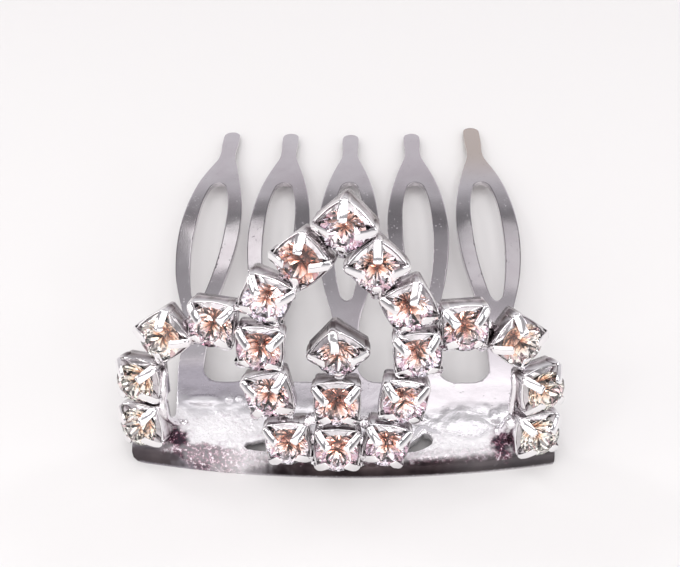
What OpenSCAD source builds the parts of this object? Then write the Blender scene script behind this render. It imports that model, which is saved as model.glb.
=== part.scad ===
/* [Comb plate] */
// Thickness of the stamped comb sheet
sheet_t = 0.6; // [0.4:0.05:1]
// Half width of the front band, end to end
band_half = 21.2; // [15:0.1:30]
// Half width of the plate where the V notches close
notch_half = 17.2; // [12:0.1:25]
// Half width of the plate at the outer necks
plate_half = 18.1; // [12:0.1:26]
// Distance from the front edge to the V notches
notch_y = 6; // [3:0.1:10]
// Distance from the front edge to the bottom of the gaps between teeth
gap_y = 10.4; // [6:0.1:16]
// Radius of the rounded corners at the bottom of each gap
gap_r = 2; // [0.5:0.1:2.6]
// Radius of the bow of the front edge, seen from above
bow_r = 131; // [60:1:400]
// Radius of the arch along the teeth, seen from the side
arch_r = 216.5; // [100:0.5:600]
// Slope of the plate behind the front edge, degrees
plate_slope = 3; // [0:0.5:8]
// Slope at which the arch takes over from the plate, degrees
arch_slope = 4.5; // [3:0.5:10]

/* [Front lip] */
// Outer radius of the lip that is rolled down to the table
lip_r = 1.6; // [1:0.1:3]
// How far below the top of the lip the plate starts
plate_drop = 0.18; // [0.1:0.02:0.4]

/* [Teeth] */
// Half width of a loop at its widest, outside
loop_half = 3.75; // [2.5:0.05:5]
// Half width of the opening in a loop
eye_half = 1.85; // [1:0.05:3]
// Half width of the neck that carries a loop
neck_half = 1.35; // [0.8:0.05:2]
// Half width of the straight nib at the tip
nib_half = 1; // [0.6:0.05:2]
// Radius of the outer sides of a loop, toward the plate
side_r = 45; // [30:1:90]
// Radius of the outer sides of a loop, toward the tip
top_r = 38.6; // [30:0.1:90]
// Radius of the inner sides of a loop
eye_r = 52; // [30:1:90]

/* [Settings] */
// Side of a square cup
cup_w = 4.4; // [3:0.1:6]
// Depth of a cup
cup_h = 2.2; // [1.5:0.1:3]
// Thickness of the cup walls
cup_wall = 0.24; // [0.15:0.01:0.4]
// Thickness of the cup floor
cup_floor = 0.32; // [0.2:0.01:0.5]
// Width of a prong
prong_w = 0.85; // [0.5:0.05:1.2]
// Length of a prong
prong_l = 1.9; // [1:0.05:2.2]
// Thickness of a prong
prong_t = 0.2; // [0.12:0.01:0.3]
// Lean of the tiara back over the comb, degrees
lean = 25.1; // [0:0.5:50]

/* [Stones] */
// Distance across a stone at its girdle
stone_d = 4.1; // [3:0.05:5]
// Distance across the flat table of a stone
table_d = 2.25; // [1.5:0.05:3]
// Height of the crown over the girdle
crown_h = 0.62; // [0.3:0.02:1]
// Depth of the pointed back below the girdle
back_h = 2.2; // [0.8:0.05:2.4]

/* [Hidden] */
$fn = 64;
fine = 256;
big = 60;
// foot of the tiara's face, above the table and behind the bow
foot_z = 1.58;
foot_y = -0.45;
// direction in which the side strands are set back, toward the plate
set_back = [0, 0.53, -0.85];
// prongs: slope down to the corner of the cup, how far inside it they end, height of their tips
prong_slope = 31.4;
prong_inset = 0.26;
prong_z = 1.16;
// upright foot of a prong: how far inside the corner, thickness, width, lowest and highest point
post_out = 0.3;
post_t = 0.34;
post_w = 0.78;
post_low = -0.5;
post_top = 0.36;
// bar of the chain between two cups
link_l = 2.2;
link_w = 1.2;
link_t = 0.45;
link_low = 0.05;
// flat strip behind the roll of the lip: its width, and how far and wide it then slopes down
strip_l = 0.5;
strip_drop = 0.3;
strip_end = 1.7;
// how much the rear corners of the front band are cut off
ear = 0.8;
// how far past the crest of the lip the plate starts
lap = 0.2;
// from the middle of the front edge to the middle of the part's box
middle = [-0.231, 27.402, 0];
// height of a stone's widest line, from the rim of its cup
girdle_z = 0.6;
girdle_t = 0.08;
// plate top where the slope begins, and where the arch takes over
front_y = lip_r;
front_z = lip_r - plate_drop;
turn_y = 10;
turn_z = front_z + (turn_y - front_y) * tan(plate_slope);
arch_y = turn_y + arch_r * sin(arch_slope);
arch_z = turn_z - arch_r * cos(arch_slope);
// beads of solder between cups and under the cups that stand on the band
joint_l = 1;
joint_r = 0.6;
joint_z = 1.6;
foot_l = 3.6;
foot_r = 0.55;
foot_up = 0.38;
// how much wider the ends of an eye are rounded than the eye is there
eye_ease = 0.03;
loop_y = 33.6;
eye_y = 33;
eye_low = 22.05;
eye_high = 41.4;
neck_top = 22;
nib_low = 44;
function eye_at(y) = eye_half - eye_r + sqrt(eye_r * eye_r - (y - eye_y) * (y - eye_y));

// teeth from left to right: middle of the loop, of the neck, of the nib, and tip
loop_x = 0;
neck_x = 1;
nib_x = 2;
tip_y = 3;
teeth = [
    [-17.1, -16.5, -16.75, 55.0],
    [-8.45, -8.4, -8.35, 54.5],
    [0.15, 0.2, 0.12, 54.1],
    [8.75, 8.7, 8.65, 54.3],
    [17.3, 16.95, 17.1, 55.8]
];

// cups: across the face, up the face, turned, nodding forward, set back, swung to the right
across = 0;
up = 1;
turned = 2;
nod = 3;
back = 4;
swung = 5;
cups = [
    [0.68, 25.35, 42, 9, 0, -8],
    [-3.55, 22.25, 42, 3, 0, -13],
    [-6.95, 18.45, -24, 8, 0, 0],
    [-7.65, 13.5, -1, 6, 0, 0],
    [-6.9, 8.65, 14, 0, 0, 0],
    [-5.15, 3.4, 4, 2, 0.4, 0],
    [-0.33, 2.8, 0, 0, 0, 0],
    [-0.26, 7.95, 0.5, 2, 0, 0],
    [-0.06, 13.1, 51, 13, 0, 0],
    [3.75, 21.55, 44, 5, 0, 0],
    [6.8, 17.6, 26, 7, 0, 0],
    [7.6, 12.9, 2, 6, 0, 0],
    [6.25, 8.05, -10, 6, 0, 0],
    [4.5, 3.3, -14, 4, 0.3, 0],
    [-12.4, 15.75, -4, 1, 0.65, 0],
    [-17.5, 14.05, 40, 0, 0.9, -6],
    [-20.25, 9, 5, 0, 1, -12],
    [-20.1, 4.05, 8, 0, 1, -12],
    [12.15, 15.4, 0, 2, 0.3, 0],
    [17.5, 13.6, 48, 0, 0.5, 12],
    [19.9, 8.3, 3, 0, 0.6, 18],
    [19.4, 3.3, -1, 3, 0.6, 8]
];
// pairs of neighbouring cups joined by the links of the chain
links = [
    [0, 1], [1, 2], [2, 3], [3, 4], [4, 5], [0, 9], [9, 10], [10, 11], [11, 12], [12, 13],
    [6, 7], [7, 8], [14, 15], [15, 16], [16, 17], [18, 19], [19, 20], [20, 21]
];
// pairs of cups soldered side by side
soldered = [[2, 14], [3, 14], [10, 18], [11, 18], [5, 6], [6, 13]];
// cups soldered down on the front band
feet = [5, 6, 13, 17, 21];

// puts something on the face of the tiara, its x and y in the face and its z toward the viewer
module on_face(a, u, turn, tip, set, swing) {
    translate(set_back * set)
        translate([0, bow_r + foot_y, 0])
            rotate([0, 0, a / bow_r * 180 / PI])
                translate([0, -bow_r, foot_z])
                    rotate([-lean, 0, 0])
                        translate([0, 0, u])
                            rotate([tip, 0, 0])
                                rotate([0, 0, swing])
                                    rotate([90, 0, 0])
                                        rotate([0, 0, turn])
                                            children();
}

module at_cup(n) {
    c = cups[n];
    on_face(c[across], c[up], c[turned], c[nod], c[back], c[swung]) children();
}

// halfway between two cups, x along the line from one to the other
module between(pair) {
    p = cups[pair[0]];
    q = cups[pair[1]];
    m = (p + q) / 2;
    along = atan2(q[up] - p[up], q[across] - p[across]);
    on_face(m[across], m[up], along, m[nod], m[back], m[swung]) children();
}

// everything under the top of the sheet, seen from the side
module under_sheet(down) {
    translate([arch_y, arch_z - down]) circle(r = arch_r, $fn = fine);
    rise = tan(plate_slope);
    polygon([
        [front_y - 5, front_z - 5 * rise - down],
        [turn_y + 5, turn_z + 5 * rise - down],
        [turn_y + 5, -5],
        [front_y - 5, -5]
    ]);
}

module arched_sheet() {
    rotate([90, 0, 90])
        linear_extrude(big, center = true)
            intersection() {
                difference() {
                    under_sheet(0);
                    under_sheet(sheet_t);
                }
                translate([0, -2]) square([big, 8]);
            }
}

module lens(half, r, y) {
    intersection() {
        translate([r - half, y]) circle(r = r, $fn = fine);
        translate([half - r, y]) circle(r = r, $fn = fine);
    }
}

// one half of a loop, from y = low up to its widest line or beyond it
module half_loop(r, low) {
    intersection() {
        lens(loop_half, r, loop_y);
        translate([-big / 2, low]) square([big, loop_y]);
    }
}

module tooth_outline(t) {
    translate([t[loop_x], 0]) {
        half_loop(side_r, 0);
        half_loop(top_r, loop_y);
    }
    translate([t[neck_x] - neck_half, gap_y - 1]) square([2 * neck_half, neck_top - gap_y + 1]);
    translate([t[nib_x] - nib_half, nib_low]) square([2 * nib_half, t[tip_y] - nib_half - nib_low]);
    translate([t[nib_x], t[tip_y] - nib_half]) circle(r = nib_half);
}

module tooth_eye(t) {
    translate([t[loop_x], 0]) {
        intersection() {
            lens(eye_half, eye_r, eye_y);
            translate([-eye_half, eye_low]) square([2 * eye_half, eye_high - eye_low]);
        }
        translate([0, eye_low]) circle(r = eye_at(eye_low) + eye_ease);
        translate([0, eye_high]) circle(r = eye_at(eye_high) + eye_ease);
    }
}

// the gap between two neighbouring necks, with rounded corners
module gap_outline(left, right) {
    x0 = left[neck_x] + neck_half;
    x1 = right[neck_x] - neck_half;
    translate([x0, gap_y + gap_r]) square([x1 - x0, 5]);
    translate([x0 + gap_r, gap_y]) square([x1 - x0 - 2 * gap_r, 3]);
    for (x = [x0 + gap_r, x1 - gap_r]) translate([x, gap_y + gap_r]) circle(r = gap_r);
}

module plate_outline() {
    intersection() {
        translate([0, bow_r]) circle(r = bow_r - front_y + lap, $fn = fine);
        polygon([
            [-band_half, 0], [band_half, 0], [band_half, notch_y - ear],
            [band_half - ear, notch_y + ear / 2], [notch_half, notch_y],
            [plate_half, gap_y + 2 * gap_r], [-plate_half, gap_y + 2 * gap_r],
            [-notch_half, notch_y], [ear - band_half, notch_y + ear / 2],
            [-band_half, notch_y - ear]
        ]);
    }
}

module comb_outline() {
    difference() {
        union() {
            difference() {
                plate_outline();
                for (i = [0:3]) gap_outline(teeth[i], teeth[i + 1]);
            }
            for (t = teeth) tooth_outline(t);
        }
        for (t = teeth) tooth_eye(t);
    }
}

// the front edge rolled down to the table, following the bow
module front_lip() {
    half_angle = asin(band_half / bow_r);
    c = bow_r - lip_r;
    translate([0, bow_r, 0])
        rotate([0, 0, -90 - half_angle])
            rotate_extrude(angle = 2 * half_angle, $fn = fine) {
                intersection() {
                    difference() {
                        translate([c, 0]) circle(r = lip_r);
                        translate([c, 0]) circle(r = lip_r - sheet_t);
                    }
                    translate([c, 0]) square([3, 3]);
                }
                polygon([
                    [c + 0.02, lip_r - sheet_t], [c + 0.02, lip_r], [c - strip_l, lip_r],
                    [c - strip_end, lip_r - strip_drop], [c - strip_end, lip_r - sheet_t]
                ]);
            }
}

// the two stamped slots beside the feet of the arch
module slots() {
    translate([0, 0, -1])
        linear_extrude(5) {
            polygon([[6.6, 2.0], [6.8, 2.8], [8.3, 4.15], [9.2, 3.5], [9.05, 3.0], [8.2, 2.4]]);
            polygon([[-9.8, 2.5], [-9.6, 3.0], [-6.6, 3.6], [-6.4, 2.6], [-7.6, 2.0], [-9.4, 2.2]]);
        }
}

// rises from the corner of the cup, then slopes up over the stone
module prong() {
    corner = cup_w / sqrt(2);
    reach = prong_l * cos(prong_slope);
    translate([corner - prong_inset - reach, -prong_w / 2, prong_z])
        rotate([0, prong_slope, 0]) cube([prong_l, prong_w, prong_t]);
    translate([corner - post_out - post_t, -post_w / 2, post_low])
        cube([post_t, post_w, post_top - post_low]);
}

// a square cup, its rim at z = 0, with four prongs folded over the stone
module cup() {
    difference() {
        translate([-cup_w / 2, -cup_w / 2, -cup_h]) cube([cup_w, cup_w, cup_h]);
        translate([cup_wall - cup_w / 2, cup_wall - cup_w / 2, cup_floor - cup_h])
            cube([cup_w - 2 * cup_wall, cup_w - 2 * cup_wall, cup_h]);
    }
    for (a = [45:90:315]) rotate([0, 0, a]) prong();
}

module link() {
    translate([-link_l / 2, -link_w / 2, -cup_h - link_low]) cube([link_l, link_w, link_t]);
}

// a bead of solder along x
module rod(l, r) {
    rotate([0, 90, 0]) cylinder(r = r, h = l, center = true);
}

module comb() {
    difference() {
        union() {
            intersection() {
                arched_sheet();
                translate([0, 0, -2]) linear_extrude(8) comb_outline();
            }
            front_lip();
        }
        slots();
    }
}

module soldered_metal() color("Silver") translate(-middle) {
    comb();
    for (i = [0:len(cups) - 1]) at_cup(i) cup();
    for (pair = links) between(pair) link();
    for (pair = soldered) between(pair) translate([0, 0, -joint_z]) rod(joint_l, joint_r);
    for (i = feet) at_cup(i) rotate([0, 0, -cups[i][turned]])
        translate([0, foot_up - cup_w / 2, -cup_h]) rod(foot_l, foot_r);
}

// corners of a regular ring around the axis
function ring(count, d, z) =
    [for (i = [0:count - 1]) [d / 2 * cos(i * 360 / count), d / 2 * sin(i * 360 / count), z]];

// a round stone: 8-sided table, 24 crown facets, 16 back facets
module stone() {
    low = girdle_z - girdle_t;
    points = concat(
        ring(8, table_d, girdle_z + crown_h),
        ring(16, stone_d, girdle_z),
        ring(16, stone_d, low),
        [[0, 0, low - back_h]]
    );
    table = [[for (i = [7:-1:0]) i]];
    stars = [for (i = [0:7]) [i, (i + 1) % 8, 8 + (2 * i + 1) % 16]];
    rights = [for (i = [0:7]) [i, 8 + (2 * i + 1) % 16, 8 + 2 * i]];
    lefts = [for (i = [0:7]) [i, 8 + 2 * i, 8 + (2 * i + 15) % 16]];
    girdle = [for (i = [0:15]) [8 + i, 8 + (i + 1) % 16, 24 + (i + 1) % 16, 24 + i]];
    pavilion = [for (i = [0:15]) [24 + i, 24 + (i + 1) % 16, 40]];
    rotate([0, 0, 22.5]) polyhedron(points, concat(table, stars, rights, lefts, girdle, pavilion));
}

module stone_at(n) color("PeachPuff") translate(-middle) at_cup(n) stone();

module apex_stone() stone_at(0);
module left_arch_stone_1() stone_at(1);
module left_arch_stone_2() stone_at(2);
module left_arch_stone_3() stone_at(3);
module left_arch_stone_4() stone_at(4);
module left_arch_stone_5() stone_at(5);
module center_stone_low() stone_at(6);
module center_stone_middle() stone_at(7);
module center_stone_top() stone_at(8);
module right_arch_stone_1() stone_at(9);
module right_arch_stone_2() stone_at(10);
module right_arch_stone_3() stone_at(11);
module right_arch_stone_4() stone_at(12);
module right_arch_stone_5() stone_at(13);
module left_side_stone_1() stone_at(14);
module left_side_stone_2() stone_at(15);
module left_side_stone_3() stone_at(16);
module left_side_stone_4() stone_at(17);
module right_side_stone_1() stone_at(18);
module right_side_stone_2() stone_at(19);
module right_side_stone_3() stone_at(20);
module right_side_stone_4() stone_at(21);

soldered_metal();
apex_stone();
left_arch_stone_1();
left_arch_stone_2();
left_arch_stone_3();
left_arch_stone_4();
left_arch_stone_5();
center_stone_low();
center_stone_middle();
center_stone_top();
right_arch_stone_1();
right_arch_stone_2();
right_arch_stone_3();
right_arch_stone_4();
right_arch_stone_5();
left_side_stone_1();
left_side_stone_2();
left_side_stone_3();
left_side_stone_4();
right_side_stone_1();
right_side_stone_2();
right_side_stone_3();
right_side_stone_4();
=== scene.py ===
import random
from math import atan2, cos, degrees, hypot, pi, radians, sin, sqrt, tan

import bmesh
import bpy
import numpy as np
from mathutils import Matrix, Vector, noise
from mathutils.geometry import delaunay_2d_cdt


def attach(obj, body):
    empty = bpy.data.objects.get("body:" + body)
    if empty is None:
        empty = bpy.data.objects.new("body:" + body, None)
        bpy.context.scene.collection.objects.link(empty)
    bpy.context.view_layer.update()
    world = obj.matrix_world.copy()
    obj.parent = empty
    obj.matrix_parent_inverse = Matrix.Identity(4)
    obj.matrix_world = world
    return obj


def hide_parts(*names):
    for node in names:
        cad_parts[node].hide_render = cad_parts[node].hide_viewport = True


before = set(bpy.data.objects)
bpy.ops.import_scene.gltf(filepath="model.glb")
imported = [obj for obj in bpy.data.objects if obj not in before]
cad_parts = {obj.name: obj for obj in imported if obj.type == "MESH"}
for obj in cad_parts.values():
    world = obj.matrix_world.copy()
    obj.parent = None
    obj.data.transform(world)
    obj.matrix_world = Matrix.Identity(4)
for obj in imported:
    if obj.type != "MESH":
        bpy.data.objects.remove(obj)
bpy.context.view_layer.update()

mm = 0.001

# the middle of the part's box, seen from the middle of the front edge, in mm
middle = Vector((-0.231, 27.402, 0.0))

# the sheet of the comb, in mm
comb = {
    "sheet": 0.6,  # thickness
    "bandHalf": 21.2,  # half the width of the front band
    "notchHalf": 17.2,  # half the width where the V notches close
    "plateHalf": 18.1,
    "notchY": 6.0,
    "gapY": 10.4,  # bottom of the gaps between the teeth
    "gapR": 2.0,
    "bowR": 131.0,  # bow of the front edge from above
    "lipR": 1.6,
    # the plate below the lip, its slope in degrees, and the arch of the teeth behind it
    "plateDrop": 0.18, "plateSlope": 3.0, "archSlope": 4.5, "archR": 216.5, "archFrom": 10.0,
    "step": 0.5,  # spacing of the mesh
    "fineStep": 0.17,  # spacing where the solder has run
    "edge": 0.07,  # rounding of the cut edges
    "strip": 0.16,  # width of the even strip of mesh along them
    "edgeStep": 0.4,  # spacing of the points along the outline and the eyes
    "slotStep": 0.25,
    "jitter": 0.15,  # shaking of the points inside, as a part of their spacing
    "shy": 0.03,  # how far the sheet keeps inside the CAD on each side
    "lowTop": 0.01, "lowUnder": 0.02,  # least heights of its top and underside
}

# teeth from the left: middle of loop, of neck, of nib, and tip
teeth = [
    {"loop": -17.1, "neck": -16.5, "nib": -16.75, "tip": 55.0},
    {"loop": -8.45, "neck": -8.4, "nib": -8.35, "tip": 54.5},
    {"loop": 0.15, "neck": 0.2, "nib": 0.12, "tip": 54.1},
    {"loop": 8.75, "neck": 8.7, "nib": 8.65, "tip": 54.3},
    {"loop": 17.3, "neck": 16.95, "nib": 17.1, "tip": 55.8},
]
toothShape = {
    "loopHalf": 3.75, "loopY": 33.6, "sideR": 45.0, "topR": 38.6,
    "eyeHalf": 1.85, "eyeY": 33.0, "eyeR": 52.0, "eyeLow": 21.4, "eyeHigh": 42.5,
    "eyeTaper": 0.97, "eyeTop": 9.2,  # how the upper half of the eye closes
    "eyeEnds": (0.95, 0.9),  # rounding of its lower and its upper end
    "eyePoints": 56,
    "neckHalf": 1.35, "nibHalf": 0.98, "tipSwell": 0.12,
    "easeLow": 0.2, "easeHigh": 0.07,  # easing of the lower and the upper shoulders
    # where the middle shifts to that of the loop, to that of the nib, and where the tip swells
    "toLoop": (15, 26), "toNib": (42, 49), "toTip": (50, 52),
    "step": 0.45,
}

# the face of the tiara
face = {"lean": 25.1, "footY": -0.45, "footZ": 1.58, "setBack": Vector((0, 0.53, -0.85))}

# cups: stone's node, across, up, turned, nodding forward, set back, swung to the right
cups = [
    ("apex_stone", 0.68, 25.35, 42, 9, 0, -8),
    ("left_arch_stone_1", -3.55, 22.25, 42, 3, 0, -13),
    ("left_arch_stone_2", -6.95, 18.45, -24, 8, 0, 0),
    ("left_arch_stone_3", -7.65, 13.5, -1, 6, 0, 0),
    ("left_arch_stone_4", -6.9, 8.65, 14, 0, 0, 0),
    ("left_arch_stone_5", -5.15, 3.4, 4, 2, 0.4, 0),
    ("center_stone_low", -0.33, 2.8, 0, 0, 0, 0),
    ("center_stone_middle", -0.26, 7.95, 0.5, 2, 0, 0),
    ("center_stone_top", -0.06, 13.1, 51, 13, 0, 0),
    ("right_arch_stone_1", 3.75, 21.55, 44, 5, 0, 0),
    ("right_arch_stone_2", 6.8, 17.6, 26, 7, 0, 0),
    ("right_arch_stone_3", 7.6, 12.9, 2, 6, 0, 0),
    ("right_arch_stone_4", 6.25, 8.05, -10, 6, 0, 0),
    ("right_arch_stone_5", 4.5, 3.3, -14, 4, 0.3, 0),
    ("left_side_stone_1", -12.4, 15.75, -4, 1, 0.65, 0),
    ("left_side_stone_2", -17.5, 14.05, 40, 0, 0.9, -6),
    ("left_side_stone_3", -20.25, 9, 5, 0, 1, -12),
    ("left_side_stone_4", -20.1, 4.05, 8, 0, 1, -12),
    ("right_side_stone_1", 12.15, 15.4, 0, 2, 0.3, 0),
    ("right_side_stone_2", 17.5, 13.6, 48, 0, 0.5, 12),
    ("right_side_stone_3", 19.9, 8.3, 3, 0, 0.6, 18),
    ("right_side_stone_4", 19.4, 3.3, -1, 3, 0.6, 8),
]
chainPairs = [(0, 1), (1, 2), (2, 3), (3, 4), (4, 5), (0, 9), (9, 10), (10, 11), (11, 12), (12, 13),
              (6, 7), (7, 8), (14, 15), (15, 16), (16, 17), (18, 19), (19, 20), (20, 21)]
solderPairs = [(2, 14), (3, 14), (10, 18), (11, 18), (5, 6), (6, 13)]
footCups = [5, 6, 13, 17, 21]

cupShape = {
    "half": 2.2,  # half the side at the rim
    "footHalf": 2.12,  # half the side at the floor
    "depth": 2.2,
    "wall": 0.24,
    "floor": 0.32,
    "corner": 0.42,  # rounding of the upright corners
    "dip": 0.12,  # how far the rim dips between two prongs
    "bulge": 0.13,  # how far the sides swell outward
    "dullAndShaded": (0.12, 0.75),  # depths between which the sides turn rough and take painted shade
    "footZ": -2.0,  # below this the walls take the even painted shade of the inside
    "insideZ": -0.45,  # the inside and the foot take painted shade as if they were this low
    "crease": 50,  # degrees
}
prongShape = {
    "width": 0.84,
    "fold": 0.5,  # height of the fold over the rim
    "bend": 2.5,  # distance of the bend from the middle of the stone
    "slope": 0.611,  # rise of the prong over the stone
    "bow": 0.12,  # how much it arches on the way, and where that ends
    "bowEnd": 1.2,
    "tip": 1.16,  # distance of the tip from the middle of the stone
    "wrap": 1.08,  # width where the prong grows out of the corner
}
stoneShape = {
    "radius": 2.05, "table": 1.12, "crown": 0.62, "girdle": 0.08, "back": 1.9, "girdleZ": 0.6,
    "starOut": 0.985, "starUp": 0.52,  # outer corners of the stars
    "beltOut": 0.46, "beltDown": 0.60,  # corners on the way down to the point
}


def smooth(a, b, v):
    t = min(max((v - a) / (b - a), 0.0), 1.0)
    return t * t * (3 - 2 * t)


def clouds(x, y, across, back, layer):
    # soft random values, with how fast they change each way
    return noise.noise(Vector((x * across, y * back, layer)))


def bow(x):
    return comb["bowR"] - sqrt(comb["bowR"] ** 2 - x * x)


def plateTop(y):
    # height of the top of the sheet, flat behind the lip and arched along the teeth
    c = comb
    rise = tan(radians(c["plateSlope"]))
    turnZ = c["lipR"] - c["plateDrop"] + (c["archFrom"] - c["lipR"]) * rise
    if y < c["archFrom"]:
        return turnZ + (y - c["archFrom"]) * rise
    a, r = radians(c["archSlope"]), c["archR"]
    midY = c["archFrom"] + r * sin(a)
    return turnZ - r * cos(a) + sqrt(r ** 2 - (y - midY) ** 2)


lipRun = comb["lipR"] * pi / 2


def onSheet(x, s):
    # s runs from the cut edge at the table, up over the lip and back along the comb
    r = comb["lipR"]
    if s < lipRun:
        a = s / r
        e, z = r * (1 - cos(a)), r * sin(a)
    else:
        e = r + s - lipRun
        w = smooth(0, 3.2, s - lipRun)
        z = r * (1 - w) + plateTop(bow(x) + e) * w
    return Vector((x, bow(x) + e, z))


def alongSheet(x, y):
    return y - bow(x) - comb["lipR"] + lipRun


def arc(cx, cy, r, a0, a1, n):
    turns = [radians(a0 + (a1 - a0) * i / n) for i in range(n + 1)]
    return [(cx + r * cos(a), cy + r * sin(a)) for a in turns]


def loopSide(y):
    # half width of a tooth from its neck to its nib, with eased shoulders
    t = toothShape
    low = y < t["loopY"]
    bulge = t["loopHalf"] - (y - t["loopY"]) ** 2 / (2 * (t["sideR"] if low else t["topR"]))
    base = t["neckHalf"] if low else t["nibHalf"]
    ease = t["easeLow"] if low else t["easeHigh"]
    return 0.5 * (bulge + base + sqrt((bulge - base) ** 2 + ease))


def toothSides(tooth):
    # right side upward, round the nib, left side down
    t = toothShape
    ys = [comb["gapY"] + comb["gapR"] + t["step"] * i for i in range(200)]
    right, left = [], []
    for y in (y for y in ys if y < tooth["tip"] - t["nibHalf"]):
        low, high, end = (smooth(*t[key], y) for key in ("toLoop", "toNib", "toTip"))
        mid = tooth["neck"] * (1 - low) + tooth["loop"] * low * (1 - high) + tooth["nib"] * high
        h = loopSide(y)
        swell = t["tipSwell"] * end
        right.append((mid + h + swell, y))
        left.append((mid - h - swell, y))
    tipR = t["nibHalf"] + t["tipSwell"]
    return right + arc(tooth["nib"], tooth["tip"] - tipR, tipR, 0, 180, 10) + left[::-1]


def toothEye(tooth):
    t = toothShape
    n = t["eyePoints"]
    right, left = [], []
    for i in range(n + 1):
        y = t["eyeLow"] + (t["eyeHigh"] - t["eyeLow"]) * (0.5 - 0.5 * cos(pi * i / n))
        h = t["eyeHalf"] - (y - t["eyeY"]) ** 2 / (2 * t["eyeR"])
        if y > t["eyeY"]:
            h = t["eyeHalf"] - t["eyeTaper"] * ((y - t["eyeY"]) / t["eyeTop"]) ** 3
        lowEnd, highEnd = (sqrt(max(0.0, 1 - max(0.0, 1 - run / size) ** 2))
                           for run, size in zip((y - t["eyeLow"], t["eyeHigh"] - y), t["eyeEnds"]))
        h *= lowEnd * highEnd
        right.append((tooth["loop"] + h, y))
        if 0 < i < n:
            left.append((tooth["loop"] - h, y))
    return right + left[::-1]


def combOutline():
    # counter-clockwise, in plan, from the rear right corner of the front band
    c = comb
    band, notch, back, r = c["bandHalf"], c["notchHalf"], c["notchY"], c["gapR"]
    pts = [(band, back - 0.8), (band - 0.25, back - 0.1), (band - 0.9, back + 0.35),
           (notch + 0.15, back + 0.02), (notch + 0.02, back + 0.3)]
    leftNotch = [(-x, y) for x, y in pts[::-1]]
    order = teeth[::-1]
    for i, tooth in enumerate(order):
        sides = toothSides(tooth)
        if i == 0:
            # the right edge of the plate runs straight up to the neck of the last tooth
            half = len(sides) // 2
            sides[:half] = [(max(x, c["plateHalf"] + 0.1) if y < 14 else x, y) for x, y in sides[:half]]
        pts += sides
        if i < len(order) - 1:
            x0 = order[i + 1]["neck"] + toothShape["neckHalf"]
            x1 = tooth["neck"] - toothShape["neckHalf"]
            pts += arc(x1 - r, c["gapY"] + r, r, 0, -90, 7)[1:]
            pts += arc(x0 + r, c["gapY"] + r, r, -90, -180, 7)[:-1]
    return pts + leftNotch


def sidesOf(loop):
    return zip(loop, loop[1:] + loop[:1])


def resample(loop, step):
    # even spacing along a closed loop, its own corners kept
    out = []
    for side in sidesOf(loop):
        a, b = (np.array(p) for p in side)
        n = max(1, int(round(np.linalg.norm(b - a) / step)))
        out += [tuple(a + (b - a) * k / n) for k in range(n)]
    return out


def inside(px, py, loop):
    # even-odd test for many points at once
    hit = np.zeros(len(px), bool)
    for (x0, y0), (x1, y1) in sidesOf(loop):
        if y0 != y1:
            hit ^= ((y0 > py) != (y1 > py)) & (px < (x1 - x0) * (py - y0) / (y1 - y0) + x0)
    return hit


def inMetal(px, py, loops):
    # inside the outline, which comes first, and outside the holes
    hit = inside(px, py, loops[0])
    for hole in loops[1:]:
        hit &= ~inside(px, py, hole)
    return hit


def nearLoop(px, py, loops):
    # distance to the nearest corner of any loop
    best = np.full(len(px), 1e9)
    for loop in loops:
        for x, y in loop:
            best = np.minimum(best, (px - x) ** 2 + (py - y) ** 2)
    return np.sqrt(best)


def inset(loop, gap):
    # points just inside the metal along a cut edge, the metal on the left of the loop
    out = []
    for i, (x, y) in enumerate(loop):
        (x0, y0), (x1, y1) = loop[i - 1], loop[(i + 1) % len(loop)]
        run = hypot(x1 - x0, y1 - y0)
        out.append((x - gap * (y1 - y0) / run, y + gap * (x1 - x0) / run))
    return out


def leftward(loop, outside=False):
    # turns a loop so that the metal is on its left
    area = sum(a[0] * b[1] - b[0] * a[1] for a, b in sidesOf(loop))
    return loop if (area > 0) != outside else loop[::-1]


solder = {
    # how far back the solder and its grainy part have run, left and right of the middle
    "backLeft": 7.6, "backRight": 6.6, "grainyLeft": 5.4, "grainyRight": 3.6,
    "ends": (17.0, 18.6),  # where it fades out toward the ends of the band
    "thick": 0.07,
    "lumps": 0.09,  # height of the larger lumps
    "grains": 0.20,  # height of the sugary grains
}
# pools of solder that set smooth: middle across, middle back, half widths, rise
pools = [
    (12.5, 4.95, 2.1, 1.35, 0.14),
    (-14.6, 8.0, 1.9, 0.55, 0.12),
    (-11.9, 8.2, 0.34, 0.3, 0.10),
    (-10.9, 8.3, 0.3, 0.28, 0.10),
    (15.6, 6.2, 0.5, 0.8, 0.14),
    (8.1, 6.0, 0.6, 0.4, 0.10),
]
# raised rims along the back of the two slots: ends in plan, height
slotRims = [
    ((6.0, 2.2), (8.2, 4.5), 0.42),
    ((8.2, 4.5), (9.5, 3.9), 0.30),
    ((-10.1, 2.6), (-9.8, 3.5), 0.22),
    ((-9.8, 3.5), (-6.6, 4.0), 0.20),
]
rimWidth = (0.12, 0.62)  # half width of a rim, at its top and at its foot
# stains of flux: middle across and back, half widths, how far they fade
stains = [(-16.7, 2.5, 1.5, 1.5, 1.15), (16.0, 2.2, 1.3, 2.0, 1.1)]


def rimAt(x, y):
    best = 0.0
    for (x0, y0), (x1, y1), rise in slotRims:
        t = ((x - x0) * (x1 - x0) + (y - y0) * (y1 - y0)) / ((x1 - x0) ** 2 + (y1 - y0) ** 2)
        t = min(max(t, 0.0), 1.0)
        d = hypot(x - x0 - t * (x1 - x0), y - y0 - t * (y1 - y0))
        best = max(best, rise * (1 - smooth(*rimWidth, d)))
    return best


def poolAt(x, y):
    # height of the smooth pools, and how much of the place they cover
    rise, cover = 0.0, 0.0
    for cx, cy, hx, hy, top in pools:
        d = ((x - cx) / hx) ** 2 + ((y - cy) / hy) ** 2
        if d < 1.7:
            k = smooth(0.0, 1.6, 1.7 - d)
            rise += top * k
            cover = max(cover, k)
    return rise, cover


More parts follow.
